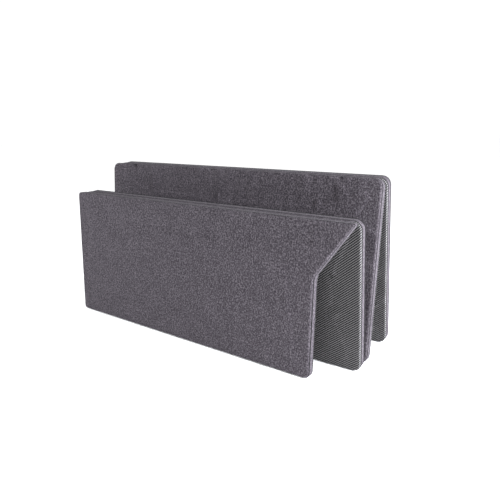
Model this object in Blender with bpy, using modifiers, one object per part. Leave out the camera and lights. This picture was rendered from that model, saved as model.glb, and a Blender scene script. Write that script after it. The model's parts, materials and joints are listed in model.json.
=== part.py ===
"""A four-section folding mattress, standing on its long edges in a zigzag.

Each section is a flat foam cushion in its own cover: a sleeping cover over the top, a border
band round the sides, a spacer-mesh underlay below, and two layers of foam inside. Sections 1
and 2 are short, sections 3 and 4 are long. Section 1 has one corner cut away.

World frame: +X runs along the sections' long edges, +Z is up and section 1 stands in front, at
-Y. A cushion is modelled in its own frame: x along its long edge, y along the unfolded mattress
from section 1 to section 4, and z from the mesh underside up to the sleeping surface.
"""

from math import cos, pi, radians, sin

import bmesh
import bpy
from mathutils import Matrix, Vector

# Driving dimensions, in metres.
WIDTH = 1.130
SHORT_SECTION = 0.468
LONG_SECTION = 0.562
THICKNESS = 0.040
LEAN_FRONT = radians(4.6)
LEAN_BACK = radians(6.8)

# The corner cut away from section 1, along its long and its short edge.
CUT_X = 0.113
CUT_Y = 0.163

# Rounding of a cushion's corners in plan, and of its long edges.
PLAN_RADIUS = 0.020
TIP_RADIUS = 0.009
EDGE_RADIUS = 0.006
ARC_STEPS = 4

# Layers, measured through the thickness.
COVER = 0.0012
UNDERLAY = 0.0030
BORDER_LOW = 0.0085
BORDER_HIGH = 0.0300
FOAM_SPLIT = 0.0200
GAP = 0.0003

# The fold seams.
FOLD_GAP = 0.0006
FOLD_SLACK = 0.0010
SEAM_RADIUS = 0.0016
SEAM_INSET = 0.030

# The zip in each left-hand end.
ZIP_INSET = 0.034
ZIP_WIDTH = 0.0064
SLIDER_LENGTH = 0.011
SLIDER_WIDTH = 0.008
SLIDER_PLATE = 0.0014
ARCH_LENGTH = 0.0070
ARCH_WIDTH = 0.0016
ARCH_HEIGHT = 0.0032
ARCH_BAR = 0.0008
PULL_LENGTH = 0.024
PULL_WIDTH = 0.0060
PULL_THICKNESS = 0.0010
PULL_HOLE_LENGTH = 0.0050
PULL_HOLE_WIDTH = 0.0032
PULL_RING = 0.0010

ZIP_PROUD = GAP + SLIDER_PLATE + ARCH_HEIGHT
ZIP_LEVEL = (BORDER_LOW + BORDER_HIGH - THICKNESS) / 2


def edge_lift(lean):
    """How far rounding an edge lifts a leaning cushion's lowest point."""
    return EDGE_RADIUS * (cos(lean) + sin(lean) - 1)


def clear_scene():
    for old in list(bpy.data.objects):
        bpy.data.objects.remove(old)


def collection(name):
    made = bpy.data.collections.new(name)
    bpy.context.scene.collection.children.link(made)
    return made


def material(name, colour, roughness, metallic=0.0):
    made = bpy.data.materials.new(name)
    made.use_nodes = True
    shader = made.node_tree.nodes["Principled BSDF"]
    shader.inputs["Base Color"].default_value = (*colour, 1)
    shader.inputs["Roughness"].default_value = roughness
    shader.inputs["Metallic"].default_value = metallic
    return made


def add_object(name, mesh, where):
    made = bpy.data.objects.new(name, mesh)
    where.objects.link(made)
    return made


def box(name, low, high, where):
    """A box between two corners."""
    shape = bmesh.new()
    bmesh.ops.create_cube(shape, size=1)
    middle = (Vector(low) + Vector(high)) / 2
    size = Vector(high) - Vector(low)
    bmesh.ops.transform(shape, matrix=Matrix.LocRotScale(middle, None, size), verts=shape.verts)
    mesh = bpy.data.meshes.new(name)
    shape.to_mesh(mesh)
    shape.free()
    return add_object(name, mesh, where)


def rod(name, radius, length, sides, where):
    """A rod along x, about the origin."""
    shape = bmesh.new()
    turn = Matrix.Rotation(pi / 2, 4, "Y")
    bmesh.ops.create_cone(
        shape, cap_ends=True, segments=sides, radius1=radius, radius2=radius, depth=length, matrix=turn
    )
    mesh = bpy.data.meshes.new(name)
    shape.to_mesh(mesh)
    shape.free()
    return add_object(name, mesh, where)


def apply_modifier(thing, kind, **settings):
    """Adds one modifier and makes its result the object's mesh."""
    step = thing.modifiers.new(kind, kind)
    for setting, value in settings.items():
        setattr(step, setting, value)
    bpy.context.view_layer.update()
    shaped = thing.evaluated_get(bpy.context.evaluated_depsgraph_get())
    mesh = bpy.data.meshes.new_from_object(shaped)
    thing.modifiers.clear()
    thing.data = mesh


def cut(thing, cutter, operation="DIFFERENCE"):
    apply_modifier(thing, "BOOLEAN", object=cutter, operation=operation, solver="EXACT")


def corner_arc(before, corner, after, radius):
    """Points that round one corner of an outline."""
    towards = (before - corner).normalized()
    away = (after - corner).normalized()
    half = towards.angle(away) / 2
    middle = (towards + away).normalized()
    centre = corner + middle * radius / sin(half)
    sweep = pi - 2 * half
    start = -middle
    left_turn = (corner - before).cross(after - corner) > 0
    points = []
    for step in range(ARC_STEPS + 1):
        angle = sweep * (step / ARC_STEPS - 0.5) * (1 if left_turn else -1)
        spoke = Vector(
            (start.x * cos(angle) - start.y * sin(angle), start.x * sin(angle) + start.y * cos(angle))
        )
        points.append(centre + spoke * radius)
    return points


def section_corners(number, length, inset):
    """The corners of a section's outline, anticlockwise, moved in from its sides, and their radii."""
    right = WIDTH / 2 - inset
    end = length / 2 - inset
    outer = PLAN_RADIUS - inset
    if number != 1:
        square = ((-right, -end), (right, -end), (right, end), (-right, end))
        return [(Vector(corner), outer) for corner in square]
    slant = Vector((CUT_X, CUT_Y)).normalized()
    # Where the slanted side, moved in, meets the side beyond it and the fold edge.
    side_x = WIDTH / 2 - CUT_X - inset
    along = Vector((WIDTH / 2 - CUT_X, length / 2 - CUT_Y)) + Vector((-slant.y, slant.x)) * inset
    low_y = along.y + (side_x - along.x) * slant.y / slant.x
    high_x = along.x + (end - along.y) * slant.x / slant.y
    return [
        (Vector((-right, -end)), outer),
        (Vector((side_x, -end)), outer),
        (Vector((side_x, low_y)), PLAN_RADIUS + inset),
        (Vector((high_x, end)), TIP_RADIUS - inset),
        (Vector((-right, end)), outer),
    ]


def outline(number, length, inset):
    """A section's rounded outline. Every arc keeps its centre as the outline moves in."""
    corners = section_corners(number, length, inset)
    points = []
    for here, (corner, radius) in enumerate(corners):
        before, _ = corners[here - 1]
        after, _ = corners[(here + 1) % len(corners)]
        points += corner_arc(before, corner, after, radius)
    return points


def cushion(name, points, low, high, rounding, where):
    """A flat body of one outline between two heights, with its edges rounded."""
    curve = bpy.data.curves.new(name, "CURVE")
    curve.dimensions = "2D"
    curve.fill_mode = "BOTH"
    curve.extrude = (high - low) / 2
    line = curve.splines.new("POLY")
    line.points.add(len(points) - 1)
    for target, point in zip(line.points, points):
        target.co = (point.x, point.y, 0, 1)
    line.use_cyclic_u = True
    drawn = add_object(name, curve, where)
    bpy.context.view_layer.update()
    mesh = bpy.data.meshes.new_from_object(drawn.evaluated_get(bpy.context.evaluated_depsgraph_get()))
    bpy.data.objects.remove(drawn)
    shape = bmesh.new()
    shape.from_mesh(mesh)
    bmesh.ops.remove_doubles(shape, verts=shape.verts, dist=0.00001)
    bmesh.ops.dissolve_limit(shape, angle_limit=radians(1), verts=shape.verts, edges=shape.edges)
    bmesh.ops.recalc_face_normals(shape, faces=shape.faces)
    bmesh.ops.translate(shape, verts=shape.verts, vec=(0, 0, (low + high) / 2))
    shape.to_mesh(mesh)
    shape.free()
    made = add_object(name, mesh, where)
    apply_modifier(
        made, "BEVEL", width=rounding, segments=2, limit_method="ANGLE", angle_limit=radians(60)
    )
    return made


def level(height):
    """A height above the underside, in a cushion's own frame."""
    return height - THICKNESS / 2


def keep_layer(thing, low, high, cutters):
    """Keeps what lies between two heights."""
    reach = WIDTH
    slab = box("layer_cutter", (-reach, -reach, level(low)), (reach, reach, level(high)), cutters)
    cut(thing, slab, "INTERSECT")
    bpy.data.objects.remove(slab)


class Section:
    """One cushion, its place in the zigzag and the pieces that hang on it."""

    def __init__(self, number, length, turn, hinge, centre, up):
        self.number = number
        self.length = length
        self.up = up
        self.hinge = bpy.data.objects.new(f"section_{number}_place", None)
        self.hinge.location = hinge
        self.hinge.rotation_euler = (turn, 0, 0)
        self.centre = centre
        PARTS.objects.link(self.hinge)

    def add(self, piece, name, look, place=(0, 0, 0)):
        """Names a piece, gives it its material and hangs it on the section's hinge."""
        piece.name = f"{name}_{self.number}"
        piece.data.name = piece.name
        piece.data.materials.clear()
        piece.data.materials.append(look)
        piece.parent = self.hinge
        piece.location = Vector(self.centre) + Vector(place)

    def body(self, name, inset, low, high):
        """A cushion-shaped body that is this section's outline moved in."""
        points = outline(self.number, self.length, inset)
        return cushion(name, points, level(low), level(high), EDGE_RADIUS - inset, PARTS)

    def shell(self, name, look, low, high, hollow):
        """A slice of the section's outer skin."""
        piece = self.body(name, 0, 0, THICKNESS)
        keep_layer(piece, low, high, CUTTERS)
        cut(piece, hollow)
        if name == "border":
            self.cut_zip_slot(piece)
        self.add(piece, name, look)

    def cover(self):
        """The sleeping cover, the border band and the underlay, which share one hollow."""
        hollow = self.body("hollow", COVER, UNDERLAY, THICKNESS - COVER)
        self.shell("sleep_cover", WOVEN, BORDER_HIGH + GAP, THICKNESS + GAP, hollow)
        self.shell("border", WOVEN, BORDER_LOW + GAP, BORDER_HIGH, hollow)
        self.shell("underlay", SPACER, -GAP, BORDER_LOW, hollow)
        bpy.data.objects.remove(hollow)

    def foam(self):
        """The memory foam above and the base foam below, clear of the cover."""
        inset = COVER + GAP
        for name, look, low, high in (
            ("memory_foam", MEMORY, FOAM_SPLIT + GAP, THICKNESS),
            ("base_foam", BASE, 0, FOAM_SPLIT),
        ):
            layer = self.body(name, inset, UNDERLAY + GAP, THICKNESS - inset)
            keep_layer(layer, low, high, CUTTERS)
            self.add(layer, name, look)

    def cut_zip_slot(self, border):
        """Opens the border's left-hand end for the zip."""
        left = -WIDTH / 2
        run = self.length / 2 - ZIP_INSET + GAP
        half = ZIP_WIDTH / 2 + GAP
        low = (left - COVER, -run, ZIP_LEVEL - half)
        high = (left + 2 * COVER, run, ZIP_LEVEL + half)
        slot = box("slot_cutter", low, high, CUTTERS)
        cut(border, slot)
        bpy.data.objects.remove(slot)

    def zip(self):
        """The zip in the border's left-hand end, its slider and its hanging pull."""
        left = -WIDTH / 2
        middle = ZIP_LEVEL
        run = self.length / 2 - ZIP_INSET
        half = ZIP_WIDTH / 2
        chain = box("zip", (left, -run, middle - half), (left + COVER, run, middle + half), PARTS)
        self.add(chain, "zip", NYLON)
        top = self.up * (run - SLIDER_LENGTH)
        self.slider(Vector((left - GAP, top, middle)))
        self.pull(Vector((left - GAP - SLIDER_PLATE - ARCH_HEIGHT / 2, top, middle)))

    def slider(self, place):
        """The slider's plate with the arch that holds the pull."""
        plate = box(
            "slider",
            (-SLIDER_PLATE, -SLIDER_LENGTH / 2, -SLIDER_WIDTH / 2),
            (0, SLIDER_LENGTH / 2, SLIDER_WIDTH / 2),
            PARTS,
        )
        top = -SLIDER_PLATE - ARCH_HEIGHT
        arch = box(
            "arch",
            (top, -ARCH_LENGTH / 2, -ARCH_WIDTH / 2),
            (-SLIDER_PLATE / 2, ARCH_LENGTH / 2, ARCH_WIDTH / 2),
            CUTTERS,
        )
        window = box(
            "window",
            (top + ARCH_BAR, -ARCH_LENGTH / 2 + ARCH_BAR, -ARCH_WIDTH),
            (-SLIDER_PLATE, ARCH_LENGTH / 2 - ARCH_BAR, ARCH_WIDTH),
            CUTTERS,
        )
        cut(arch, window)
        cut(plate, arch, "UNION")
        bpy.data.objects.remove(window)
        bpy.data.objects.remove(arch)
        self.add(plate, "zip_slider", METAL, place)

    def pull(self, place):
        """The pull tab, hanging from its ring bar, which passes under the arch."""
        tail = -self.up * (PULL_LENGTH - PULL_RING / 2)
        near = self.up * PULL_RING / 2
        tab = box(
            "pull",
            (-PULL_THICKNESS / 2, min(tail, near), -PULL_WIDTH / 2),
            (PULL_THICKNESS / 2, max(tail, near), PULL_WIDTH / 2),
            PARTS,
        )
        far = -self.up * (PULL_HOLE_LENGTH + PULL_RING / 2)
        hole = box(
            "pull_hole",
            (-PULL_THICKNESS, min(far, -near), -PULL_HOLE_WIDTH / 2),
            (PULL_THICKNESS, max(far, -near), PULL_HOLE_WIDTH / 2),
            CUTTERS,
        )
        cut(tab, hole)
        bpy.data.objects.remove(hole)
        self.add(tab, "zip_pull", METAL, place)

    def fold_seam(self, other, along, through):
        """The round seam that joins this section to another, on their fold line."""
        seam = rod("fold_seam", SEAM_RADIUS, WIDTH - 2 * SEAM_INSET, 8, PARTS)
        seam.data.polygons.foreach_set("use_smooth", [True] * len(seam.data.polygons))
        seam.data.set_sharp_from_angle(angle=radians(60))
        self.add(seam, f"fold_seam_{other}", WOVEN, (0, along, through))
        seam.name = f"fold_seam_{min(self.number, other)}{max(self.number, other)}"


def zigzag():
    """Works out where the four sections stand, and makes them."""
    half = (THICKNESS + FOLD_GAP) / 2
    front_turn = pi / 2 - LEAN_FRONT
    back_turn = pi / 2 - LEAN_BACK
    inner = THICKNESS + FOLD_GAP / 2

    # The first and third folds are above, the second is below, and every section reaches z = 0.
    reach = SHORT_SECTION + FOLD_SLACK
    fold_12_z = reach * cos(LEAN_FRONT) - FOLD_GAP / 2 * sin(LEAN_FRONT) - edge_lift(LEAN_FRONT)
    slack_3 = FOLD_SLACK * cos(LEAN_FRONT) + inner * (sin(LEAN_BACK) - sin(LEAN_FRONT))
    slack_3 = (slack_3 + edge_lift(LEAN_FRONT) - edge_lift(LEAN_BACK)) / cos(LEAN_BACK)

    down_2 = Vector((0, sin(LEAN_FRONT), -cos(LEAN_FRONT)))
    out_2 = Vector((0, cos(LEAN_FRONT), sin(LEAN_FRONT)))
    up_3 = Vector((0, sin(LEAN_BACK), cos(LEAN_BACK)))
    out_3 = Vector((0, cos(LEAN_BACK), -sin(LEAN_BACK)))
    fold_12 = Vector((0, 0, fold_12_z))
    fold_23 = fold_12 + down_2 * (reach + FOLD_SLACK) + out_2 * 2 * half
    fold_34 = fold_23 + up_3 * (slack_3 + LONG_SECTION + FOLD_SLACK) + out_3 * 2 * half

    # The origin is the middle of the whole mattress, sliders included, on the floor.
    tip = THICKNESS + FOLD_GAP / 2 - EDGE_RADIUS
    short_tip = reach - EDGE_RADIUS
    long_tip = LONG_SECTION + FOLD_SLACK - EDGE_RADIUS
    front = -(short_tip * sin(LEAN_FRONT) + tip * cos(LEAN_FRONT) + EDGE_RADIUS)
    back = fold_34.y + long_tip * sin(LEAN_BACK) + tip * cos(LEAN_BACK) + EDGE_RADIUS
    shift = Vector((ZIP_PROUD / 2, -(front + back) / 2, 0))

    short = SHORT_SECTION / 2 + FOLD_SLACK
    long = LONG_SECTION / 2
    return (
        Section(1, SHORT_SECTION, front_turn, fold_12 + shift, (0, -short, half), 1),
        Section(2, SHORT_SECTION, -front_turn, fold_12 + shift, (0, short, half), -1),
        Section(3, LONG_SECTION, back_turn, fold_23 + shift, (0, long + slack_3, -half), 1),
        Section(4, LONG_SECTION, -back_turn, fold_34 + shift, (0, long + FOLD_SLACK, half), -1),
    )


clear_scene()
PARTS = collection("folding_mattress")
CUTTERS = collection("cutters")
WOVEN = material("woven_cover", (0.10, 0.09, 0.105), 0.9)
SPACER = material("spacer_mesh", (0.16, 0.16, 0.16), 0.8)
MEMORY = material("memory_foam", (0.80, 0.78, 0.70), 0.95)
BASE = material("base_foam", (0.72, 0.74, 0.78), 0.95)
NYLON = material("zip_nylon", (0.05, 0.05, 0.055), 0.6)
METAL = material("zip_metal", (0.35, 0.35, 0.36), 0.35, 1.0)

SECTIONS = zigzag()
for section in SECTIONS:
    section.cover()
    section.foam()
    section.zip()

# A seam sits on the hinge line of the section it folds: the first two on section 2's ends.
HALF_THICKNESS = (THICKNESS + FOLD_GAP) / 2
SECTIONS[1].fold_seam(1, -SHORT_SECTION / 2 - FOLD_SLACK, -HALF_THICKNESS)
SECTIONS[1].fold_seam(3, SHORT_SECTION / 2 + FOLD_SLACK, HALF_THICKNESS)
SECTIONS[2].fold_seam(4, LONG_SECTION / 2 + FOLD_SLACK, -HALF_THICKNESS)
bpy.context.view_layer.update()
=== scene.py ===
"""The soft covers, foam, folds, zips, finishes and studio of a four-section folding mattress.

Every section is shaped lying flat, in its own flat frame: x along the folds, y along the opened
mattress from section 1 to section 4, and z up through the thickness, with the mesh underside
below. A turn about the world's x axis then stands the section up in its place.
"""

import json

from math import pi, radians

import bmesh
import bpy
import numpy as np
from mathutils import Matrix, Vector, noise
from mathutils.kdtree import KDTree


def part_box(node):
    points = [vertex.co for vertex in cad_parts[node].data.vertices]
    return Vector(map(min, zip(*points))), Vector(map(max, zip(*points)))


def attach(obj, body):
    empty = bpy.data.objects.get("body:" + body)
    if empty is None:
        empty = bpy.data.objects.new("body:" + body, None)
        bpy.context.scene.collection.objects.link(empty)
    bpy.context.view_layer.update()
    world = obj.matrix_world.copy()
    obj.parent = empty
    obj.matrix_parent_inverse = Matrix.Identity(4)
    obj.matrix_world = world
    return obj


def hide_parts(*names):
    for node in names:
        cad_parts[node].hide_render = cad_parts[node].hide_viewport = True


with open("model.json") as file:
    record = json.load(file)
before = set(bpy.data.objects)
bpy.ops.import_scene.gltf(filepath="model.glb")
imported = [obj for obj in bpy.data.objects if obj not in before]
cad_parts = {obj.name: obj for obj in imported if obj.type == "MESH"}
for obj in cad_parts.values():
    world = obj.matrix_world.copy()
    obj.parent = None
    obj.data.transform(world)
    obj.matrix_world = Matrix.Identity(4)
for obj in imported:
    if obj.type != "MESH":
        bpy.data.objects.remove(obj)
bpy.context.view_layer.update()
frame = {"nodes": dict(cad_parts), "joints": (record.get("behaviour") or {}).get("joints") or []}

bl_info = {
    "name": "Folding Mattress",
    "version": (1, 0, 0),
    "blender": (4, 5, 0),
    "location": "View3D > Sidebar > Mattress",
    "description": "Covers, foam, folds and zips of a folding mattress",
    "category": "Add Mesh",
}

JOINTS = {joint["name"]: joint for joint in frame["joints"]}
NUMBERS = (1, 2, 3, 4)
LOOKS = {}
SIM_FRAMES = 20

# Lengths that a user wouldn't change, in metres.
CLEARANCE = 0.0001
SEAM_GAP = 0.00015
SEAM_RIM = 0.0018
SEAM_SHADE = 0.0024
SKIN_INSET = 0.0008
FOAM_INSET = 0.0064
TURN_OVER = 0.003
CROWN_RAMP = 0.030
LEAF_INSET = 0.020
LEAF_THICKNESS = 0.0007
TOOTH_REACH = 0.0012


class MattressSizes(bpy.types.PropertyGroup):
    cell: bpy.props.FloatProperty(
        name="Cloth cells", description="Size of the cells that the cover is blown up with",
        default=0.010, unit="LENGTH",
    )
    fine_cell: bpy.props.FloatProperty(
        name="Cover cells", description="Size of the finished cover's cells", default=0.0042,
        unit="LENGTH",
    )
    crown: bpy.props.FloatProperty(
        name="Crown", description="How far a cover swells over its foam", default=0.0022,
        unit="LENGTH",
    )
    edge: bpy.props.FloatProperty(
        name="Edge rounding", description="Rounding of the long edges", default=0.0045,
        unit="LENGTH",
    )
    corner: bpy.props.FloatProperty(
        name="Corner rounding", description="Rounding of the corners in plan", default=0.027,
        unit="LENGTH",
    )
    cut_corner: bpy.props.FloatProperty(
        name="Cut section's corners", description="Rounding of section 1's corners in plan",
        default=0.012, unit="LENGTH",
    )
    cut_x: bpy.props.FloatProperty(
        name="Cut corner along", description="Cut-away corner along the fold", default=0.113,
        unit="LENGTH",
    )
    cut_y: bpy.props.FloatProperty(
        name="Cut corner across", description="Cut-away corner across the fold", default=0.163,
        unit="LENGTH",
    )
    seam_depth: bpy.props.FloatProperty(
        name="Seam depth", description="How deep a seam is drawn in", default=0.0044,
        unit="LENGTH",
    )
    cloth: bpy.props.FloatProperty(
        name="Cloth thickness", description="Thickness of the cover cloth", default=0.0009,
        unit="LENGTH",
    )
    gather: bpy.props.FloatProperty(
        name="Gathers", description="Depth of the pulls beside the seams", default=0.0011,
        unit="LENGTH",
    )
    tooth_pitch: bpy.props.FloatProperty(
        name="Zip pitch", description="Distance between a zip's teeth", default=0.0020,
        unit="LENGTH",
    )


class MattressColours(bpy.types.PropertyGroup):
    yarn_dark: bpy.props.FloatVectorProperty(
        name="Dark yarn", description="Darkest yarn of the cover", subtype="COLOR",
        default=(0.0205, 0.0176, 0.0216),
    )
    yarn_mid: bpy.props.FloatVectorProperty(
        name="Main yarn", description="Main yarn of the cover", subtype="COLOR",
        default=(0.0470, 0.0412, 0.0480),
    )
    yarn_light: bpy.props.FloatVectorProperty(
        name="Light yarn", description="Lightest yarn of the cover", subtype="COLOR",
        default=(0.1180, 0.1060, 0.1190),
    )
    strand: bpy.props.FloatVectorProperty(
        name="Mesh strand", description="Strands of the spacer mesh", subtype="COLOR",
        default=(0.135, 0.129, 0.131),
    )
    # Painted highlight: a far lighter strand colour for the mesh round the cushion's rounded side,
    # standing in for the light that grazes that rim.
    strand_painted_highlight: bpy.props.FloatVectorProperty(
        name="Drawn strand", description="Strands drawn close together round the cushion's side",
        subtype="COLOR", default=(0.50, 0.49, 0.50),
    )
    ground: bpy.props.FloatVectorProperty(
        name="Mesh ground", description="What shows through the spacer mesh", subtype="COLOR",
        default=(0.004, 0.004, 0.0045),
    )
    memory: bpy.props.FloatVectorProperty(
        name="Memory foam", description="Colour of the memory foam", subtype="COLOR",
        default=(0.80, 0.77, 0.66),
    )
    base: bpy.props.FloatVectorProperty(
        name="Base foam", description="Colour of the base foam", subtype="COLOR",
        default=(0.66, 0.70, 0.78),
    )
    zip: bpy.props.FloatVectorProperty(
        name="Zip", description="Colour of the zip's coil and tape", subtype="COLOR",
        default=(0.035, 0.034, 0.038),
    )
    metal: bpy.props.FloatVectorProperty(
        name="Zip metal", description="Colour of the slider and pull", subtype="COLOR",
        default=(0.30, 0.30, 0.31),
    )


class MattressStudio(bpy.types.PropertyGroup):
    eye: bpy.props.FloatVectorProperty(
        name="Camera place", description="Where the camera stands", subtype="TRANSLATION",
        default=(1.0211, -1.2668, 0.7580),
    )
    aim: bpy.props.FloatVectorProperty(
        name="Camera turn", description="How the camera is turned", subtype="EULER",
        default=(radians(73.50), radians(1.49), radians(34.52)),
    )
    lens: bpy.props.FloatProperty(
        name="Lens", description="Focal length in millimetres", default=34.34,
    )
    key: bpy.props.FloatProperty(
        name="Key light", description="Power of the side light", default=165.0, unit="POWER",
    )
    fill: bpy.props.FloatProperty(
        name="Surround", description="Strength of the surrounding light", default=1.06,
    )


def sizes():
    return bpy.context.scene.mattress_sizes


def colours():
    return bpy.context.scene.mattress_colours


def studio():
    return bpy.context.scene.mattress_studio


# Sections and their flat frames.


class Section:
    """Where a section lies in its flat frame, read from its solids."""

    def __init__(self, number):
        self.number = number
        self.body = f"section_{number}"
        fold = "fold_12" if number < 3 else "fold_34"
        lean = radians(-JOINTS[fold]["range_deg"][0] / 2)
        self.turn = (pi / 2 - lean) * (1 if number in (1, 3) else -1)
        self.flat = Matrix.Rotation(-self.turn, 4, "X")
        low_1, high_1 = self.flat_box(f"sleep_cover_{number}")
        low_2 = self.flat_box(f"underlay_{number}")[0]
        self.low = Vector((low_1.x, low_1.y, low_2.z))
        # Section 1's solids stop short of the full width at their rounded tip.
        self.high = Vector((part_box("border_2")[1].x, high_1.y, high_1.z))
        self.seam_low, self.seam_high = (corner.z for corner in self.flat_box(f"border_{number}"))

    def flat_box(self, node):
        points = [self.flat @ vertex.co for vertex in frame["nodes"][node].data.vertices]
        low = Vector([min(point[axis] for point in points) for axis in range(3)])
        high = Vector([max(point[axis] for point in points) for axis in range(3)])
        return low, high

    def fold_line(self, joint):
        """A fold's axis in this section's flat frame."""
        return self.flat @ Vector(JOINTS[joint]["pos_m"])


# Modelling helpers.


def deselect():
    if bpy.context.mode != "OBJECT":
        bpy.ops.object.mode_set(mode="OBJECT")
    bpy.ops.object.select_all(action="DESELECT")


def take(piece):
    """Makes a piece the only one selected."""
    deselect()
    piece.select_set(True)
    bpy.context.view_layer.objects.active = piece


def copy_of(piece, name):
    made = piece.copy()
    made.data = piece.data.copy()
    made.name = name
    made.data.name = name
    bpy.context.scene.collection.objects.link(made)
    return made


def edit(piece, kind):
    take(piece)
    bpy.ops.object.mode_set(mode="EDIT")
    bpy.ops.mesh.select_mode(type=kind)
    bpy.ops.mesh.select_all(action="DESELECT")
    return bmesh.from_edit_mesh(piece.data)


def finish_edit():
    bpy.ops.object.mode_set(mode="OBJECT")


def pick(piece, elements, wanted):
    for element in elements:
        element.select_set(wanted(element))
    bmesh.update_edit_mesh(piece.data)


def cube(name, low, high):
    """A box between two corners, placed in its mesh."""
    deselect()
    middle = (Vector(low) + Vector(high)) / 2
    bpy.ops.mesh.primitive_cube_add(size=1, location=middle, scale=Vector(high) - Vector(low))
    piece = bpy.context.active_object
    piece.name = name
    piece.data.name = name
    bpy.ops.object.transform_apply(location=True, rotation=True, scale=True)
    return piece


def apply(piece, kind, **settings):
    take(piece)
    step = piece.modifiers.new(kind, kind)
    for setting, value in settings.items():
        setattr(step, setting, value)
    bpy.ops.object.modifier_apply(modifier=step.name)


def cut_away(piece, cutter):
    apply(piece, "BOOLEAN", object=cutter, operation="DIFFERENCE", solver="EXACT")
    bpy.data.objects.remove(cutter)


def smooth(piece, angle=40):
    take(piece)
    bpy.ops.object.shade_smooth_by_angle(angle=radians(angle))


def read_points(piece):
    points = np.zeros(len(piece.data.vertices) * 3)
    piece.data.vertices.foreach_get("co", points)
    return points.reshape(-1, 3)


def write_points(piece, points):
    piece.data.vertices.foreach_set("co", points.ravel())
    piece.data.update()


def read_normals(piece):
    normals = np.zeros(len(piece.data.vertices) * 3)
    piece.data.vertex_normals.foreach_get("vector", normals)
    return normals.reshape(-1, 3)


def plan_outward(normals):
    """Each point's outward direction in plan, of length 1."""
    outward = normals[:, :2].copy()
    outward /= np.maximum(np.linalg.norm(outward, axis=1), 1e-6)[:, None]
    return outward


def lay_out(piece, points, normals, depth):
    """A UV map in metres: the plan, carried on down the sides by their depth."""
    plan = points[:, :2] + plan_outward(normals) * depth[:, None]
    corner = np.zeros(len(piece.data.loops), np.int32)
    piece.data.loops.foreach_get("vertex_index", corner)
    layer = piece.data.uv_layers.new(name="cloth")
    layer.data.foreach_set("uv", plan[corner].astype(np.float32).ravel())


def stand_up(piece, section):
    """Turns a piece from its flat frame to where it stands."""
    piece.data.transform(section.flat.inverted())
    piece.data.update()


def dress(piece, look, slot, body, *nodes):
    """Gives a finished piece its material and ties it to the frame."""
    piece.data.materials.clear()
    piece.data.materials.append(LOOKS[look])
    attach(piece, body)
    if nodes:
        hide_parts(*nodes)


# Materials.


def new_group(name, inputs, outputs):
    tree = bpy.data.node_groups.new(name, "ShaderNodeTree")
    for label, kind, value in inputs:
        socket = tree.interface.new_socket(name=label, in_out="INPUT", socket_type=kind)
        if value is not None:
            socket.default_value = value
    for label, kind in outputs:
        tree.interface.new_socket(name=label, in_out="OUTPUT", socket_type=kind)
    return tree, tree.nodes.new("NodeGroupInput"), tree.nodes.new("NodeGroupOutput")


def feed(tree, socket, value):
    if isinstance(value, bpy.types.NodeSocket):
        tree.links.new(value, socket)
    else:
        socket.default_value = value


def math(tree, operation, first, second=0.0, third=0.0):
    node = tree.nodes.new("ShaderNodeMath")
    node.operation = operation
    for socket, value in zip(node.inputs, (first, second, third)):
        feed(tree, socket, value)
    return node.outputs[0]


def scaled(tree, vector, scale):
    """A vector with each part multiplied."""
    node = tree.nodes.new("ShaderNodeMapping")
    feed(tree, node.inputs["Vector"], vector)
    node.inputs["Scale"].default_value = scale
    return node.outputs[0]


def cloud(tree, vector, scale, detail=2.0):
    node = tree.nodes.new("ShaderNodeTexNoise")
    feed(tree, node.inputs["Vector"], vector)
    node.inputs["Scale"].default_value = scale
    node.inputs["Detail"].default_value = detail
    return node.outputs["Fac"]


def span(tree, value, low, high, new_low=0.0, new_high=1.0):
    node = tree.nodes.new("ShaderNodeMapRange")
    feed(tree, node.inputs["Value"], value)
    for label, number in (
        ("From Min", low), ("From Max", high), ("To Min", new_low), ("To Max", new_high),
    ):
        node.inputs[label].default_value = number
    return node.outputs[0]


def blend_colours(tree, share, first, second, kind="MIX"):
    node = tree.nodes.new("ShaderNodeMix")
    node.data_type = "RGBA"
    node.blend_type = kind
    feed(tree, node.inputs["Factor"], share)
    feed(tree, node.inputs[6], first)
    feed(tree, node.inputs[7], second)
    return node.outputs[2]


def split(tree, vector):
    node = tree.nodes.new("ShaderNodeSeparateXYZ")
    feed(tree, node.inputs[0], vector)
    return node.outputs


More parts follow.
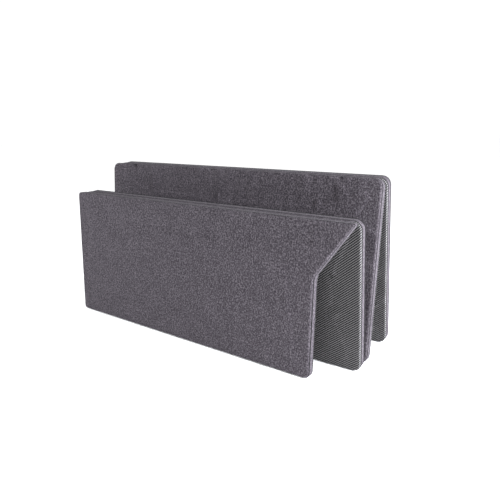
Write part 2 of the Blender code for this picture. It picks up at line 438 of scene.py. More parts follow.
def weave_group():
    """Plain weave of flecked yarn: dark, main and light fibres run along each thread."""
    tree, given, result = new_group(
        "Flecked weave",
        (
            ("Vector", "NodeSocketVector", None),
            ("Thread", "NodeSocketFloat", 0.0011),
            ("Dark", "NodeSocketColor", None),
            ("Main", "NodeSocketColor", None),
            ("Light", "NodeSocketColor", None),
            ("Streaks", "NodeSocketFloat", 1.0),
        ),
        (("Color", "NodeSocketColor"), ("Height", "NodeSocketFloat")),
    )
    place = given.outputs["Vector"]
    across = split(tree, place)
    turn = math(tree, "DIVIDE", pi, given.outputs["Thread"])
    warp = math(tree, "ABSOLUTE", math(tree, "SINE", math(tree, "MULTIPLY", across[0], turn)))
    weft = math(tree, "ABSOLUTE", math(tree, "SINE", math(tree, "MULTIPLY", across[1], turn)))
    column = math(tree, "SINE", math(tree, "MULTIPLY", across[0], turn))
    row = math(tree, "SINE", math(tree, "MULTIPLY", across[1], turn))
    over = math(tree, "GREATER_THAN", math(tree, "MULTIPLY", column, row), 0.0)

    warp_fleck = cloud(tree, scaled(tree, place, (1.0, 0.30, 1.0)), 900.0, 1.0)
    weft_fleck = cloud(tree, scaled(tree, place, (0.35, 1.0, 1.0)), 900.0, 1.0)
    grain = cloud(tree, scaled(tree, place, (1.0, 0.75, 1.0)), 262.0, 2.0)
    slub = cloud(tree, scaled(tree, place, (1.0, 0.22, 1.0)), 330.0, 1.0)
    mottle = cloud(tree, place, 17.0, 3.0)
    # Painted wrinkle shade: long narrow streaks of lighter and darker tone, standing in for the
    # light and shade of fine creases in the cloth.
    painted_wrinkle_shade = cloud(tree, scaled(tree, place, (1.0, 0.10, 1.0)), 120.0, 2.0)

    fleck_mix = tree.nodes.new("ShaderNodeMix")
    feed(tree, fleck_mix.inputs["Factor"], over)
    feed(tree, fleck_mix.inputs[2], weft_fleck)
    feed(tree, fleck_mix.inputs[3], warp_fleck)
    slub_share = math(tree, "MULTIPLY", slub, 0.3)
    streak = math(tree, "ADD", math(tree, "MULTIPLY", grain, 0.7), slub_share)
    streak = math(tree, "MULTIPLY", math(tree, "SUBTRACT", streak, 0.5), given.outputs["Streaks"])
    tone = math(tree, "ADD", fleck_mix.outputs[0], streak)
    # The mottle is tone that differs at random; the wrinkle streaks are painted shade.
    for broad, share in ((mottle, 0.14), (painted_wrinkle_shade, 0.22)):
        swing = math(tree, "MULTIPLY", math(tree, "SUBTRACT", broad, 0.5), share)
        tone = math(tree, "ADD", tone, swing)
    darker = blend_colours(
        tree, span(tree, tone, 0.28, 0.52), given.outputs["Dark"], given.outputs["Main"]
    )
    colour = blend_colours(tree, span(tree, tone, 0.52, 0.82), darker, given.outputs["Light"])
    tree.links.new(colour, result.inputs["Color"])

    height = math(tree, "MULTIPLY", math(tree, "ADD", warp, weft), 0.5)
    height = math(tree, "ADD", height, math(tree, "MULTIPLY", slub, 0.6))
    tree.links.new(height, result.inputs["Height"])
    return tree


def spacer_group():
    """A knitted spacer mesh: strands round staggered six-sided holes."""
    tree, given, result = new_group(
        "Spacer mesh",
        (
            ("Vector", "NodeSocketVector", None),
            ("Ground", "NodeSocketColor", None),
            ("Strand", "NodeSocketColor", None),
            ("Width", "NodeSocketFloat", 0.0092),
            ("Length", "NodeSocketFloat", 0.0075),
            ("Rib", "NodeSocketFloat", 0.35),
            ("Bridge", "NodeSocketFloat", 0.40),
        ),
        (("Color", "NodeSocketColor"), ("Height", "NodeSocketFloat"), ("Hole", "NodeSocketFloat")),
    )
    across = split(tree, given.outputs["Vector"])
    column = math(tree, "DIVIDE", across[0], given.outputs["Width"])
    row = math(tree, "DIVIDE", across[1], given.outputs["Length"])
    cell = []
    for slant in (math(tree, "SUBTRACT", column, row), math(tree, "ADD", column, row)):
        part = math(tree, "FRACT", slant)
        cell.append(math(tree, "ABSOLUTE", math(tree, "SUBTRACT", part, 0.5)))
    rib = span(tree, math(tree, "SUBTRACT", cell[1], given.outputs["Rib"]), -0.05, 0.05)
    from_bridge = math(tree, "SUBTRACT", cell[0], given.outputs["Bridge"])
    bridge = span(tree, from_bridge, -0.05, 0.05, 0.0, 0.38)
    strand = math(tree, "MAXIMUM", rib, bridge)
    yarn = cloud(tree, scaled(tree, given.outputs["Vector"], (1.0, 0.3, 1.0)), 1500.0, 1.0)
    shade = span(tree, yarn, 0.3, 0.7, 0.55, 1.15)
    lit = blend_colours(tree, 1.0, given.outputs["Strand"], shade, "MULTIPLY")
    colour = blend_colours(tree, strand, given.outputs["Ground"], lit)
    tree.links.new(colour, result.inputs["Color"])
    round_strand = math(tree, "POWER", strand, 0.6)
    height = math(tree, "ADD", round_strand, math(tree, "MULTIPLY", yarn, 0.15))
    tree.links.new(height, result.inputs["Height"])
    tree.links.new(math(tree, "SUBTRACT", 1.0, strand), result.inputs["Hole"])
    return tree


def seam_group():
    """Painted shade in the groove of a seam, from the piece's own "seam" attribute."""
    tree, given, result = new_group(
        "Seam shade",
        (
            ("Color", "NodeSocketColor", None),
            ("Seam", "NodeSocketFloat", 0.0),
            ("Depth", "NodeSocketFloat", 0.85),
        ),
        (("Color", "NodeSocketColor"),),
    )
    share = math(tree, "MULTIPLY", given.outputs["Seam"], given.outputs["Depth"])
    shaded = blend_colours(tree, share, given.outputs["Color"], (0.0, 0.0, 0.0, 1.0))
    tree.links.new(shaded, result.inputs["Color"])
    return tree


def pore_group():
    """Open foam cells."""
    tree, given, result = new_group(
        "Foam cells",
        (("Vector", "NodeSocketVector", None), ("Foam", "NodeSocketColor", None)),
        (("Color", "NodeSocketColor"), ("Height", "NodeSocketFloat")),
    )
    cells = tree.nodes.new("ShaderNodeTexVoronoi")
    feed(tree, cells.inputs["Vector"], given.outputs["Vector"])
    cells.inputs["Scale"].default_value = 1100.0
    # Painted shade: the hollows of the cells are darkened; the broad cloud below is stains in the
    # foam.
    pits = span(tree, cells.outputs["Distance"], 0.0, 0.6)
    stain = span(tree, cloud(tree, given.outputs["Vector"], 9.0, 3.0), 0.3, 0.7, 0.86, 1.05)
    shade = math(tree, "MULTIPLY", span(tree, pits, 0.0, 1.0, 0.72, 1.0), stain)
    tree.links.new(
        blend_colours(tree, 1.0, given.outputs["Foam"], shade, "MULTIPLY"), result.inputs["Color"]
    )
    tree.links.new(pits, result.inputs["Height"])
    return tree


def new_material(name, roughness, **settings):
    made = bpy.data.materials.new(name)
    made.use_nodes = True
    shader = made.node_tree.nodes["Principled BSDF"]
    shader.inputs["Roughness"].default_value = roughness
    for label, value in settings.items():
        shader.inputs[label.replace("_", " ")].default_value = value
    return made, made.node_tree, shader


def use_group(tree, group, **values):
    node = tree.nodes.new("ShaderNodeGroup")
    node.node_tree = group
    for label, value in values.items():
        feed(tree, node.inputs[label], value)
    return node


def cloth_place(tree):
    node = tree.nodes.new("ShaderNodeUVMap")
    node.uv_map = "cloth"
    return node.outputs["UV"]


def object_place(tree):
    return tree.nodes.new("ShaderNodeTexCoord").outputs["Object"]


def shade_seam(tree, shader, seams, colour):
    """Darkens a colour with painted seam shade, where the piece's "seam" attribute says."""
    painted_seam_shade = tree.nodes.new("ShaderNodeAttribute")
    painted_seam_shade.attribute_name = "seam"
    shaded = use_group(tree, seams, Color=colour, Seam=painted_seam_shade.outputs["Fac"])
    tree.links.new(shaded.outputs["Color"], shader.inputs["Base Color"])


def bump(tree, shader, height, strength, distance):
    node = tree.nodes.new("ShaderNodeBump")
    node.inputs["Strength"].default_value = strength
    node.inputs["Distance"].default_value = distance
    feed(tree, node.inputs["Height"], height)
    tree.links.new(node.outputs["Normal"], shader.inputs["Normal"])


def rgba(colour):
    return (*colour, 1.0)


def woven_look(name, group, seams, streaks):
    made, tree, shader = new_material(name, 0.94, Sheen_Weight=0.02, Sheen_Roughness=0.45)
    shader.inputs["Specular IOR Level"].default_value = 0.12
    weave = use_group(
        tree, group,
        Vector=cloth_place(tree), Thread=0.0012, Streaks=streaks,
        Dark=rgba(colours().yarn_dark), Main=rgba(colours().yarn_mid),
        Light=rgba(colours().yarn_light),
    )
    shade_seam(tree, shader, seams, weave.outputs["Color"])
    bump(tree, shader, weave.outputs["Height"], 0.55, 0.0005)
    return made


def spacer_look(group, seams):
    made, tree, shader = new_material("Spacer mesh", 0.7, Sheen_Weight=0.1, Sheen_Roughness=0.4)
    shader.inputs["Specular IOR Level"].default_value = 0.2
    # Painted highlight: where the "side" attribute says, on the rounded rim, the strands take a
    # much lighter colour that stands in for light grazing the rim.
    drawn = tree.nodes.new("ShaderNodeAttribute")
    drawn.attribute_name = "side"
    strand = blend_colours(
        tree, drawn.outputs["Fac"], rgba(colours().strand), rgba(colours().strand_painted_highlight)
    )
    knit = use_group(
        tree, group, Vector=cloth_place(tree), Ground=rgba(colours().ground), Strand=strand
    )
    shade_seam(tree, shader, seams, knit.outputs["Color"])
    tree.links.new(span(tree, knit.outputs["Hole"], 0, 1, 0.55, 0.95), shader.inputs["Roughness"])
    bump(tree, shader, knit.outputs["Height"], 0.8, 0.0015)
    return made


def foam_look(name, group, colour):
    made, tree, shader = new_material(name, 0.95, Subsurface_Weight=0.08, Subsurface_Scale=0.004)
    cells = use_group(tree, group, Vector=object_place(tree), Foam=rgba(colour))
    tree.links.new(cells.outputs["Color"], shader.inputs["Base Color"])
    bump(tree, shader, cells.outputs["Height"], 0.5, 0.0006)
    return made


def zip_look():
    made, tree, shader = new_material("Zip coil", 0.5)
    place = object_place(tree)
    wear = cloud(tree, place, 300.0, 2.0)
    dark = rgba(colours().zip)
    worn = rgba([part * 2.2 for part in colours().zip])
    tree.links.new(
        blend_colours(tree, span(tree, wear, 0.45, 0.75), dark, worn), shader.inputs["Base Color"]
    )
    bump(tree, shader, cloud(tree, place, 2500.0, 1.0), 0.25, 0.0002)
    return made


def metal_look():
    made, tree, shader = new_material("Zip metal", 0.32, Metallic=1.0)
    place = object_place(tree)
    grime = cloud(tree, place, 420.0, 3.0)
    bright = rgba(colours().metal)
    dull = rgba([part * 0.55 for part in colours().metal])
    tree.links.new(
        blend_colours(tree, span(tree, grime, 0.4, 0.75), bright, dull), shader.inputs["Base Color"]
    )
    tree.links.new(span(tree, grime, 0.3, 0.8, 0.25, 0.5), shader.inputs["Roughness"])
    bump(tree, shader, cloud(tree, scaled(tree, place, (1, 1, 0.1)), 3000.0, 1.0), 0.08, 0.0001)
    return made


class MATTRESS_OT_finishes(bpy.types.Operator):
    """Makes the materials of the covers, mesh, foam and zips"""

    bl_idname = "mattress.finishes"
    bl_label = "Make Finishes"

    def execute(self, context):
        weave = weave_group()
        pores = pore_group()
        seams = seam_group()
        LOOKS["woven"] = woven_look("Woven cover", weave, seams, 1.85)
        LOOKS["fold"] = woven_look("Woven fold", weave, seams, 1.2)
        LOOKS["spacer"] = spacer_look(spacer_group(), seams)
        LOOKS["memory"] = foam_look("Memory foam", pores, colours().memory)
        LOOKS["base"] = foam_look("Base foam", pores, colours().base)
        LOOKS["zip"] = zip_look()
        LOOKS["metal"] = metal_look()
        return {"FINISHED"}


# Cushions.


def upright(edge):
    run = edge.verts[1].co - edge.verts[0].co
    return abs(run.z) > 0.9 * run.length


def on_rim(edge):
    """An edge between a flat top or bottom and a side."""
    return sum(abs(face.normal.z) > 0.9 for face in edge.link_faces) == 1


def rounded_block(name, section, inset, low_z, high_z, edge, steps):
    """A section's outline as a block, moved in from its sides, with every edge rounded."""
    low = Vector((section.low.x + inset, section.low.y + inset, low_z))
    high = Vector((section.high.x - inset, section.high.y - inset, high_z))
    block = cube(name, low, high)
    if section.number == 1:
        cut_away(block, cut_corner(section, inset))
    size = sizes()
    corner = size.cut_corner if section.number == 1 else size.corner
    tip = Vector((section.high.x, section.high.y)) if section.number == 1 else None

    def at_tip(line):
        return tip is not None and (line.verts[0].co.xy - tip).length < size.corner

    shape = edit(block, "EDGE")
    pick(block, shape.edges, lambda line: upright(line) and not at_tip(line))
    bpy.ops.mesh.bevel(offset=corner - inset, segments=steps + 2, affect="EDGES")
    shape = edit_again(block)
    pick(block, shape.edges, lambda line: upright(line) and at_tip(line))
    bpy.ops.mesh.bevel(offset=corner * 0.7 - inset / 2, segments=steps + 2, affect="EDGES")
    shape = edit_again(block)
    pick(block, shape.edges, on_rim)
    bpy.ops.mesh.bevel(offset=edge, segments=steps, affect="EDGES")
    finish_edit()
    return block


def edit_again(piece):
    bpy.ops.mesh.select_all(action="DESELECT")
    return bmesh.from_edit_mesh(piece.data)


def cut_corner(section, inset):
    """What is cut away from section 1, with its slanted side moved out by the inset."""
    reach = 0.05
    size = sizes()
    side_x = section.high.x - size.cut_x - inset
    slant = Vector((size.cut_x, size.cut_y)).normalized()
    start = Vector((side_x, section.high.y - size.cut_y + inset * (1 - slant.y) / slant.x))
    cutter = cube(
        "corner_cutter",
        (side_x, section.low.y - reach, section.low.z - reach),
        (section.high.x + reach, section.high.y + reach, section.high.z + reach),
    )
    rise = (section.high.x + reach - start.x) * slant.y / slant.x
    for vertex in cutter.data.vertices:
        if vertex.co.y > section.high.y:
            near = vertex.co.x < section.high.x
            vertex.co.y = start.y if near else start.y + rise
    return cutter


def swell(blocks):
    """Blows up coarse copies of the covers as cloth, all together, and returns them."""
    scene = bpy.context.scene
    blown = []
    for block in blocks:
        sack = copy_of(block, f"{block.name}_sack")
        apply(sack, "REMESH", mode="VOXEL", voxel_size=sizes().cell)
        blown.append(sack)
        cloth = sack.modifiers.new("Cloth", "CLOTH")
        settings = cloth.settings
        settings.quality = 4
        settings.mass = 0.3
        settings.tension_stiffness = 12
        settings.compression_stiffness = 12
        settings.shear_stiffness = 5
        settings.bending_stiffness = 0.4
        settings.use_pressure = True
        settings.uniform_pressure_force = 4
        settings.effector_weights.gravity = 0
        cloth.collision_settings.use_collision = False
        cloth.point_cache.frame_start = 1
        cloth.point_cache.frame_end = SIM_FRAMES
    for step in range(1, SIM_FRAMES + 1):
        scene.frame_set(step)
    for sack in blown:
        take(sack)
        bpy.ops.object.modifier_apply(modifier="Cloth")
    scene.frame_set(1)
    return blown


def crown(block, sack, section):
    """Lays the blown-up cloth's height on the cover's faces, whose outline the foam holds."""
    cloth = read_points(sack)
    middle = (section.low.z + section.high.z) / 2
    points = read_points(block)
    normals = read_normals(block)
    from_side = np.minimum(points[:, 0] - section.low.x, section.high.x - points[:, 0])
    from_end = np.minimum(points[:, 1] - section.low.y, section.high.y - points[:, 1])
    share = np.clip(np.minimum(from_side, from_end) / CROWN_RAMP, 0, 1)
    for side in (1, -1):
        near = cloth[(cloth[:, 2] - middle) * side > 0]
        tree = KDTree(len(near))
        for index, point in enumerate(near):
            tree.insert((point[0], point[1], 0), index)
        tree.balance()
        for index in np.nonzero(normals[:, 2] * side > 0.8)[0]:
            found = tree.find_n((points[index, 0], points[index, 1], 0), 3)
            height = sum(near[spot[1], 2] for spot in found) / len(found)
            rise = np.clip((height - points[index, 2]) * side, 0, sizes().crown)
            points[index, 2] += side * rise * share[index]
    write_points(block, points)
    bpy.data.objects.remove(sack)


def pulls(section, point):
    """How deep the cloth is pulled in at a point of a face, by the gathers along its seams.

    The sleeping face of section 3 has the deepest ones.
    """
    from_end = min(point.y - section.low.y, section.high.y - point.y)
    from_side = min(point.x - section.low.x, section.high.x - point.x)
    seed = 7.3 * section.number + (0 if point.z > (section.low.z + section.high.z) / 2 else 31)
    along = noise.noise(Vector((point.x / 0.030, seed, from_end / 0.12)))
    across = noise.noise(Vector((from_side / 0.12, seed + 3, point.y / 0.034)))
    broad = noise.noise(Vector((point.x / 0.16, seed + 9, point.y / 0.13)))
    near_end = np.exp(-max(from_end, 0) / 0.055)
    near_side = np.exp(-max(from_side, 0) / 0.030)
    if section.number == 3 and point.z > section.seam_high:
        near_end *= 4.5
    depth = near_end * (0.5 + 0.9 * along) + near_side * (0.3 + 0.6 * across) + 0.45 * (0.5 + broad)
    return sizes().gather * max(0.0, depth)


def settle(block, section):
    """Draws in the gathers and keeps the cushion inside its solids' box."""
    points = read_points(block)
    normals = read_normals(block)
    for index, (point, normal) in enumerate(zip(points, normals)):
        if abs(normal[2]) > 0.6:
            points[index, 2] -= np.sign(normal[2]) * pulls(section, Vector(point))
    low = np.array(section.low) + CLEARANCE
    high = np.array(section.high) - CLEARANCE
    write_points(block, np.clip(points, low, high))


def slice_of(block, name, section, low, high):
    """The stretch of a cushion's skin between two seams, with its rims drawn in."""
    piece = copy_of(block, name)
    normals = read_normals(piece)
    edit(piece, "FACE")
    for height, below in ((low, True), (high, False)):
        if height is None:
            continue
        for level, clear in ((height, True), (height + (SEAM_RIM if below else -SEAM_RIM), False)):
            bpy.ops.mesh.select_all(action="SELECT")
            bpy.ops.mesh.bisect(
                plane_co=(0, 0, level), plane_no=(0, 0, 1),
                clear_inner=clear and below, clear_outer=clear and not below,
            )
    finish_edit()
    points = read_points(piece)
    normals = read_normals(piece)
    top, bottom = section.high.z, section.low.z
    if low is None:
        depth = np.maximum(points[:, 2] - bottom - TURN_OVER, 0)
    else:
        depth = np.maximum(top - TURN_OVER - points[:, 2], 0)
    lay_out(piece, points, normals, depth)
    outward = plan_outward(normals)
    # Painted shade along each seam's groove: strongest at the seam, fading out away from it.
    painted_seam_shade = np.zeros(len(points), np.float32)
    for height in (low, high):
        if height is not None:
            from_seam = np.abs(points[:, 2] - height)
            at_rim = from_seam < 1e-5
            points[at_rim, :2] -= outward[at_rim] * sizes().seam_depth
            painted_seam_shade = np.maximum(painted_seam_shade, np.clip(1.8 - from_seam / SEAM_SHADE, 0, 1))
    write_points(piece, points)
    # The "side" attribute picks the underside's rounded rim, where the mesh gets its painted
    # highlight.
    side = np.zeros(len(points), np.float32)
    if low is None:
        side = np.clip((0.92 - np.abs(normals[:, 2])) / 0.3, 0, 1).astype(np.float32)
    piece.data.attributes.new("seam", "FLOAT", "POINT").data.foreach_set("value", painted_seam_shade)
    piece.data.attributes.new("side", "FLOAT", "POINT").data.foreach_set("value", side)
    apply(piece, "SOLIDIFY", thickness=sizes().cloth, offset=-1, use_even_offset=False)
    return piece


def cushion_pieces(section, block):
    number = section.number
    face = slice_of(block, f"cover_face_{number}", section, section.seam_high + SEAM_GAP, None)
    band = slice_of(block, f"cover_band_{number}", section, section.seam_low, section.seam_high)
    under = slice_of(block, f"mesh_underside_{number}", section, None, section.seam_low - SEAM_GAP)
    slot_low, slot_high = section.flat_box(f"zip_{number}")
    margin = Vector((0.004, 0.0003, 0.0003))
    cut_away(band, cube("zip_slot", slot_low - margin, slot_high + margin))
    for piece, look, slot, node in (
        (face, "woven", "woven_cover", "sleep_cover"),
        (band, "woven", "woven_cover", "border"),
        (under, "spacer", "spacer_mesh", "underlay"),
    ):
        smooth(piece, 50)
        stand_up(piece, section)
        dress(piece, look, slot, section.body, f"{node}_{number}")
    bpy.data.objects.remove(block)


class MATTRESS_OT_cushions(bpy.types.Operator):
    """Makes every section's sleeping cover, border band and mesh underside"""

    bl_idname = "mattress.cushions"
    bl_label = "Make Cushions"

    def execute(self, context):
        size = sizes()
        sections = [Section(number) for number in NUMBERS]
        blocks = []
        for section in sections:
            inset_z = size.crown
            block = rounded_block(
                f"cushion_{section.number}", section, SKIN_INSET,
                section.low.z + inset_z, section.high.z - inset_z, size.edge, 3,
            )
            blocks.append(block)
        blown = swell(blocks)
        for index, (section, block) in enumerate(zip(sections, blocks)):
            form = copy_of(block, f"{block.name}_form")
            apply(block, "REMESH", mode="VOXEL", voxel_size=size.fine_cell)
            apply(block, "SHRINKWRAP", target=form, wrap_method="NEAREST_SURFACEPOINT")
            bpy.data.objects.remove(form)
            if blown:
                crown(block, blown[index], section)
            settle(block, section)
            cushion_pieces(section, block)
        return {"FINISHED"}


class MATTRESS_OT_foam(bpy.types.Operator):
    """Makes the memory foam and base foam inside every cover"""

    bl_idname = "mattress.foam"
    bl_label = "Make Foam"

    def execute(self, context):
        size = sizes()
        for number in NUMBERS:
            section = Section(number)
            for name, look in (("memory_foam", "memory"), ("base_foam", "base")):
                low, high = section.flat_box(f"{name}_{number}")
                low_z = max(low.z, section.low.z + size.crown + FOAM_INSET)
                high_z = min(high.z, section.high.z - size.crown - FOAM_INSET)
                layer = rounded_block(
                    f"{name}_slab_{number}", section, FOAM_INSET,
                    low_z, high_z, size.edge * 0.8, 2,
                )
                smooth(layer, 30)
                stand_up(layer, section)
                dress(layer, look, name, section.body, f"{name}_{number}")
        return {"FINISHED"}


# Folds.

FOLDS = (
    # The fold, its two sections, each with the end of the section that it is on, and whether
    # the fold is on the mesh side.
    ("fold_12", ((1, 1), (2, -1)), True),
    ("fold_23", ((2, 1), (3, -1)), False),
    ("fold_34", ((3, 1), (4, -1)), True),
)


def fold_profile(section, joint, end, mesh_side):
    """The line across a fold leaf, from the border's seam round the edge to the fold's axis."""
    line = section.fold_line(joint)
    wall = section.high.y if end > 0 else section.low.y
    side = -1 if mesh_side else 1
    seam = section.seam_low if mesh_side else section.seam_high
    start = Vector((wall - end * 0.0002, seam + side * 0.0016))
    points = [Vector((wall - end * 0.0020, seam + side * 0.0004)), start]
    finish = Vector((line.y, line.z))
    for share in (0.25, 0.5, 0.75, 1.0):
        sag = 0.0007 * np.sin(pi * share)
        points.append(start.lerp(finish, share) - Vector((end * sag, 0)))
    return points


def fold_leaf(name, section, joint, end, mesh_side):
    profile = fold_profile(section, joint, end, mesh_side)
    start = section.low.x + LEAF_INSET
    stop = section.high.x - LEAF_INSET
    cells = 170
    deselect()
    bpy.ops.mesh.primitive_grid_add(x_subdivisions=cells, y_subdivisions=len(profile) - 1, size=1)
    leaf = bpy.context.active_object
    leaf.name = name
    leaf.data.name = name
    for vertex in leaf.data.vertices:
        share = vertex.co.x + 0.5
        row = round((vertex.co.y + 0.5) * (len(profile) - 1))
        point = profile[row]
        x = start + (stop - start) * share
        ripple = 0.0004 * noise.noise(Vector((x / 0.02, row / 3, section.number)))
        free = 0 if row in (0, len(profile) - 1) else 1
        vertex.co = (x, point.x + end * ripple * free, point.y)
    leaf.data.update()
    take(leaf)
    bpy.ops.object.mode_set(mode="EDIT")
    bpy.ops.mesh.select_all(action="SELECT")
    bpy.ops.mesh.normals_make_consistent(inside=False)
    finish_edit()
    points = read_points(leaf)
    if sum(face.normal.y for face in leaf.data.polygons) * end < 0:
        leaf.data.flip_normals()
    runs = np.cumsum([0] + [(b - a).length for a, b in zip(profile, profile[1:])])
    rows = np.array([np.abs(np.array([p.x for p in profile]) - y).argmin() for y in points[:, 1]])
    plan = np.stack([points[:, 0], runs[rows]], axis=1)
    corner = np.zeros(len(leaf.data.loops), np.int32)
    leaf.data.loops.foreach_get("vertex_index", corner)
    layer = leaf.data.uv_layers.new(name="cloth")
    layer.data.foreach_set("uv", plan[corner].astype(np.float32).ravel())
    apply(leaf, "SOLIDIFY", thickness=LEAF_THICKNESS, offset=-1)
    apply(leaf, "SUBSURF", levels=1, render_levels=1)
    smooth(leaf, 50)
    stand_up(leaf, section)
    dress(leaf, "fold", "woven_cover", section.body)
    return leaf


def fold_piping(joint, body):
    """The corded seam on a fold's axis, with its stitches."""
    node = joint.replace("fold", "fold_seam")
    low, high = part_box(node)
    middle = (low + high) / 2
    radius = (high.z - low.z) / 2
    length = high.x - low.x
    deselect()
    bpy.ops.mesh.primitive_cylinder_add(
        vertices=12, radius=radius * 0.8, depth=length, location=middle, rotation=(0, pi / 2, 0),
        end_fill_type="TRIFAN",
    )
    cord = bpy.context.active_object
    cord.name = f"{node}_cord"
    cord.data.name = cord.name
    bpy.ops.object.transform_apply(location=True, rotation=True, scale=True)
    shape = edit(cord, "EDGE")
    pick(cord, shape.edges, lambda line: abs(line.verts[0].co.x - line.verts[1].co.x) > length / 2)
    bpy.ops.mesh.subdivide(number_cuts=180)
    finish_edit()
    for vertex in cord.data.vertices:
        spoke = Vector((0, vertex.co.y - middle.y, vertex.co.z - middle.z))
        twist = np.arctan2(spoke.z, spoke.y) * 2 + vertex.co.x / 0.0035
        vertex.co += spoke * 0.10 * np.sin(twist)
    points = read_points(cord)
    around = np.arctan2(points[:, 2] - middle.z, points[:, 1] - middle.y) * radius
    corner = np.zeros(len(cord.data.loops), np.int32)
    cord.data.loops.foreach_get("vertex_index", corner)
    layer = cord.data.uv_layers.new(name="cloth")
    plan = np.stack([points[:, 0], around], axis=1)
    layer.data.foreach_set("uv", plan[corner].astype(np.float32).ravel())
    smooth(cord, 60)
    dress(cord, "fold", "woven_cover", body, node)
    return cord


class MATTRESS_OT_folds(bpy.types.Operator):
    """Makes the cloth leaves and the corded seam of every fold"""

    bl_idname = "mattress.folds"
    bl_label = "Make Folds"

    def execute(self, context):
        for joint, ends, mesh_side in FOLDS:
            for number, end in ends:
                section = Section(number)
                fold_leaf(f"{joint}_leaf_{number}", section, joint, end, mesh_side)
            body = "section_3" if joint == "fold_34" else "section_2"
            fold_piping(joint, body)
        return {"FINISHED"}


# Zips.


def zip_strip(section):
    """A zip's woven tape with its two rows of teeth, shaped flat."""
    number = section.number
    low, high = section.flat_box(f"zip_{number}")
    middle = (low.z + high.z) / 2
    pitch = sizes().tooth_pitch
    count = int((high.y - low.y - pitch) / pitch)
    tape = cube(f"zip_strip_{number}", (low.x + 0.0004, low.y, low.z), (high.x, high.y, high.z))
    apply(tape, "BEVEL", width=0.0002, segments=2)
    for side in (-1, 1):
        # The rows lie side by side, half a pitch out of step.
        first = low.y + pitch / 2 + (side + 1) * pitch / 4
        level = middle + side * 0.0009
        tooth = cube(
            "tooth",
            (low.x - 0.0001, first, level - TOOTH_REACH),
            (low.x + 0.0008, first + pitch / 2, level + TOOTH_REACH),
        )
        edit(tooth, "EDGE")
        bpy.ops.mesh.select_all(action="SELECT")
        bpy.ops.mesh.bevel(offset=0.00022, segments=1, affect="EDGES")
        finish_edit()
        apply(
            tooth, "ARRAY", count=count, use_relative_offset=False, use_constant_offset=True,
            constant_offset_displace=(0, pitch, 0),
        )
        take(tape)
        tooth.select_set(True)
        bpy.ops.object.join()
    smooth(tape, 35)
    stand_up(tape, section)
    dress(tape, "zip", "zip_nylon", section.body, f"zip_{number}")


def hardware(name, node, body, width):
    """A metal piece of a zip, from its solid, with its edges broken."""
    piece = copy_of(frame["nodes"][node], name)
    for key in list(piece.keys()):
        del piece[key]
    piece.parent = None
    edit(piece, "VERT")
    bpy.ops.mesh.select_all(action="SELECT")
    bpy.ops.mesh.remove_doubles(threshold=0.00001)
    bpy.ops.mesh.dissolve_limited(angle_limit=radians(2))
    finish_edit()
    apply(piece, "BEVEL", width=width, segments=3, limit_method="ANGLE", angle_limit=radians(40))
    smooth(piece, 35)
    dress(piece, "metal", "zip_metal", body, node)


class MATTRESS_OT_zips(bpy.types.Operator):
    """Makes every zip's tape and teeth, slider and pull"""

    bl_idname = "mattress.zips"
    bl_label = "Make Zips"

    def execute(self, context):
        for number in NUMBERS:
            zip_strip(Section(number))
            hardware(f"slider_{number}", f"zip_slider_{number}", f"zip_slider_{number}", 0.00025)
            hardware(f"pull_tab_{number}", f"zip_pull_{number}", f"zip_pull_{number}", 0.00022)
        return {"FINISHED"}


# The studio.


def paper_look():
    made, tree, shader = new_material("Studio paper", 0.9)
    place = object_place(tree)
    tint = span(tree, cloud(tree, place, 3.0, 2.0), 0.3, 0.7, 0.985, 1.0)
    white = (0.96, 0.96, 0.96, 1.0)
    tree.links.new(blend_colours(tree, 1.0, white, tint, "MULTIPLY"), shader.inputs["Base Color"])
    return made


def soft_box(name, place, target, width, height, power, colour):
    light = bpy.data.lights.new(name, "AREA")
    light.shape = "RECTANGLE"
    light.size = width
    light.size_y = height
    light.energy = power
    light.color = colour
    lamp = bpy.data.objects.new(name, light)
    lamp.location = place
    lamp.rotation_euler = (Vector(target) - Vector(place)).to_track_quat("-Z", "Y").to_euler()
    bpy.context.scene.collection.objects.link(lamp)


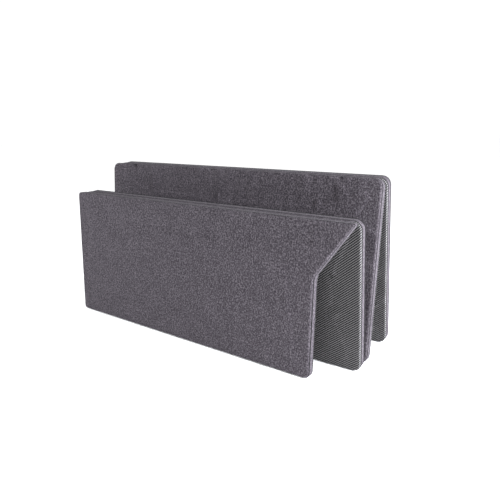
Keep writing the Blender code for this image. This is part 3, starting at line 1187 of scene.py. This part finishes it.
class MATTRESS_OT_studio(bpy.types.Operator):
    """Makes the paper floor, the lights and the camera"""

    bl_idname = "mattress.studio"
    bl_label = "Make Studio"

    def execute(self, context):
        scene = context.scene
        deselect()
        bpy.ops.mesh.primitive_plane_add(size=24)
        floor = context.active_object
        floor.name = "studio_floor"
        floor.data.materials.append(paper_look())
        world = bpy.data.worlds.new("Studio")
        world.use_nodes = True
        backdrop = world.node_tree.nodes["Background"]
        backdrop.inputs["Color"].default_value = (1.0, 1.0, 1.0, 1.0)
        backdrop.inputs["Strength"].default_value = studio().fill
        scene.world = world
        cool = (0.93, 0.95, 1.0)
        key = studio().key
        soft_box("side_box", (2.3, -0.05, 1.0), (0.3, 0, 0.25), 0.8, 0.8, key * 1.3, cool)
        soft_box("front_box", (-2.1, -1.5, 1.2), (-0.3, 0, 0.25), 1.2, 1.2, key * 0.33, cool)
        camera = bpy.data.cameras.new("camera")
        camera.lens = studio().lens
        viewer = bpy.data.objects.new("camera", camera)
        viewer.location = studio().eye
        viewer.rotation_euler = studio().aim
        scene.collection.objects.link(viewer)
        scene.camera = viewer
        scene.view_settings.view_transform = "Standard"
        return {"FINISHED"}


class MATTRESS_PT_panel(bpy.types.Panel):
    """Lists the mattress's operators and settings"""

    bl_idname = "MATTRESS_PT_panel"
    bl_label = "Folding Mattress"
    bl_space_type = "VIEW_3D"
    bl_region_type = "UI"
    bl_category = "Mattress"

    def draw(self, context):
        for operator in OPERATORS:
            self.layout.operator(operator.bl_idname)
        for group in (sizes(), colours(), studio()):
            for name in group.__annotations__:
                self.layout.prop(group, name)


OPERATORS = (
    MATTRESS_OT_finishes,
    MATTRESS_OT_studio,
    MATTRESS_OT_cushions,
    MATTRESS_OT_foam,
    MATTRESS_OT_folds,
    MATTRESS_OT_zips,
)
GROUPS = {
    "mattress_sizes": MattressSizes,
    "mattress_colours": MattressColours,
    "mattress_studio": MattressStudio,
}


def register():
    for thing in (*GROUPS.values(), *OPERATORS, MATTRESS_PT_panel):
        bpy.utils.register_class(thing)
    for name, group in GROUPS.items():
        setattr(bpy.types.Scene, name, bpy.props.PointerProperty(type=group))


def unregister():
    for name in GROUPS:
        delattr(bpy.types.Scene, name)
    for thing in (MATTRESS_PT_panel, *reversed(OPERATORS), *GROUPS.values()):
        bpy.utils.unregister_class(thing)


def main():
    register()
    bpy.ops.mattress.finishes()
    bpy.ops.mattress.studio()
    bpy.ops.mattress.cushions()
    bpy.ops.mattress.foam()
    bpy.ops.mattress.folds()
    bpy.ops.mattress.zips()


if __name__ == "__main__":
    main()
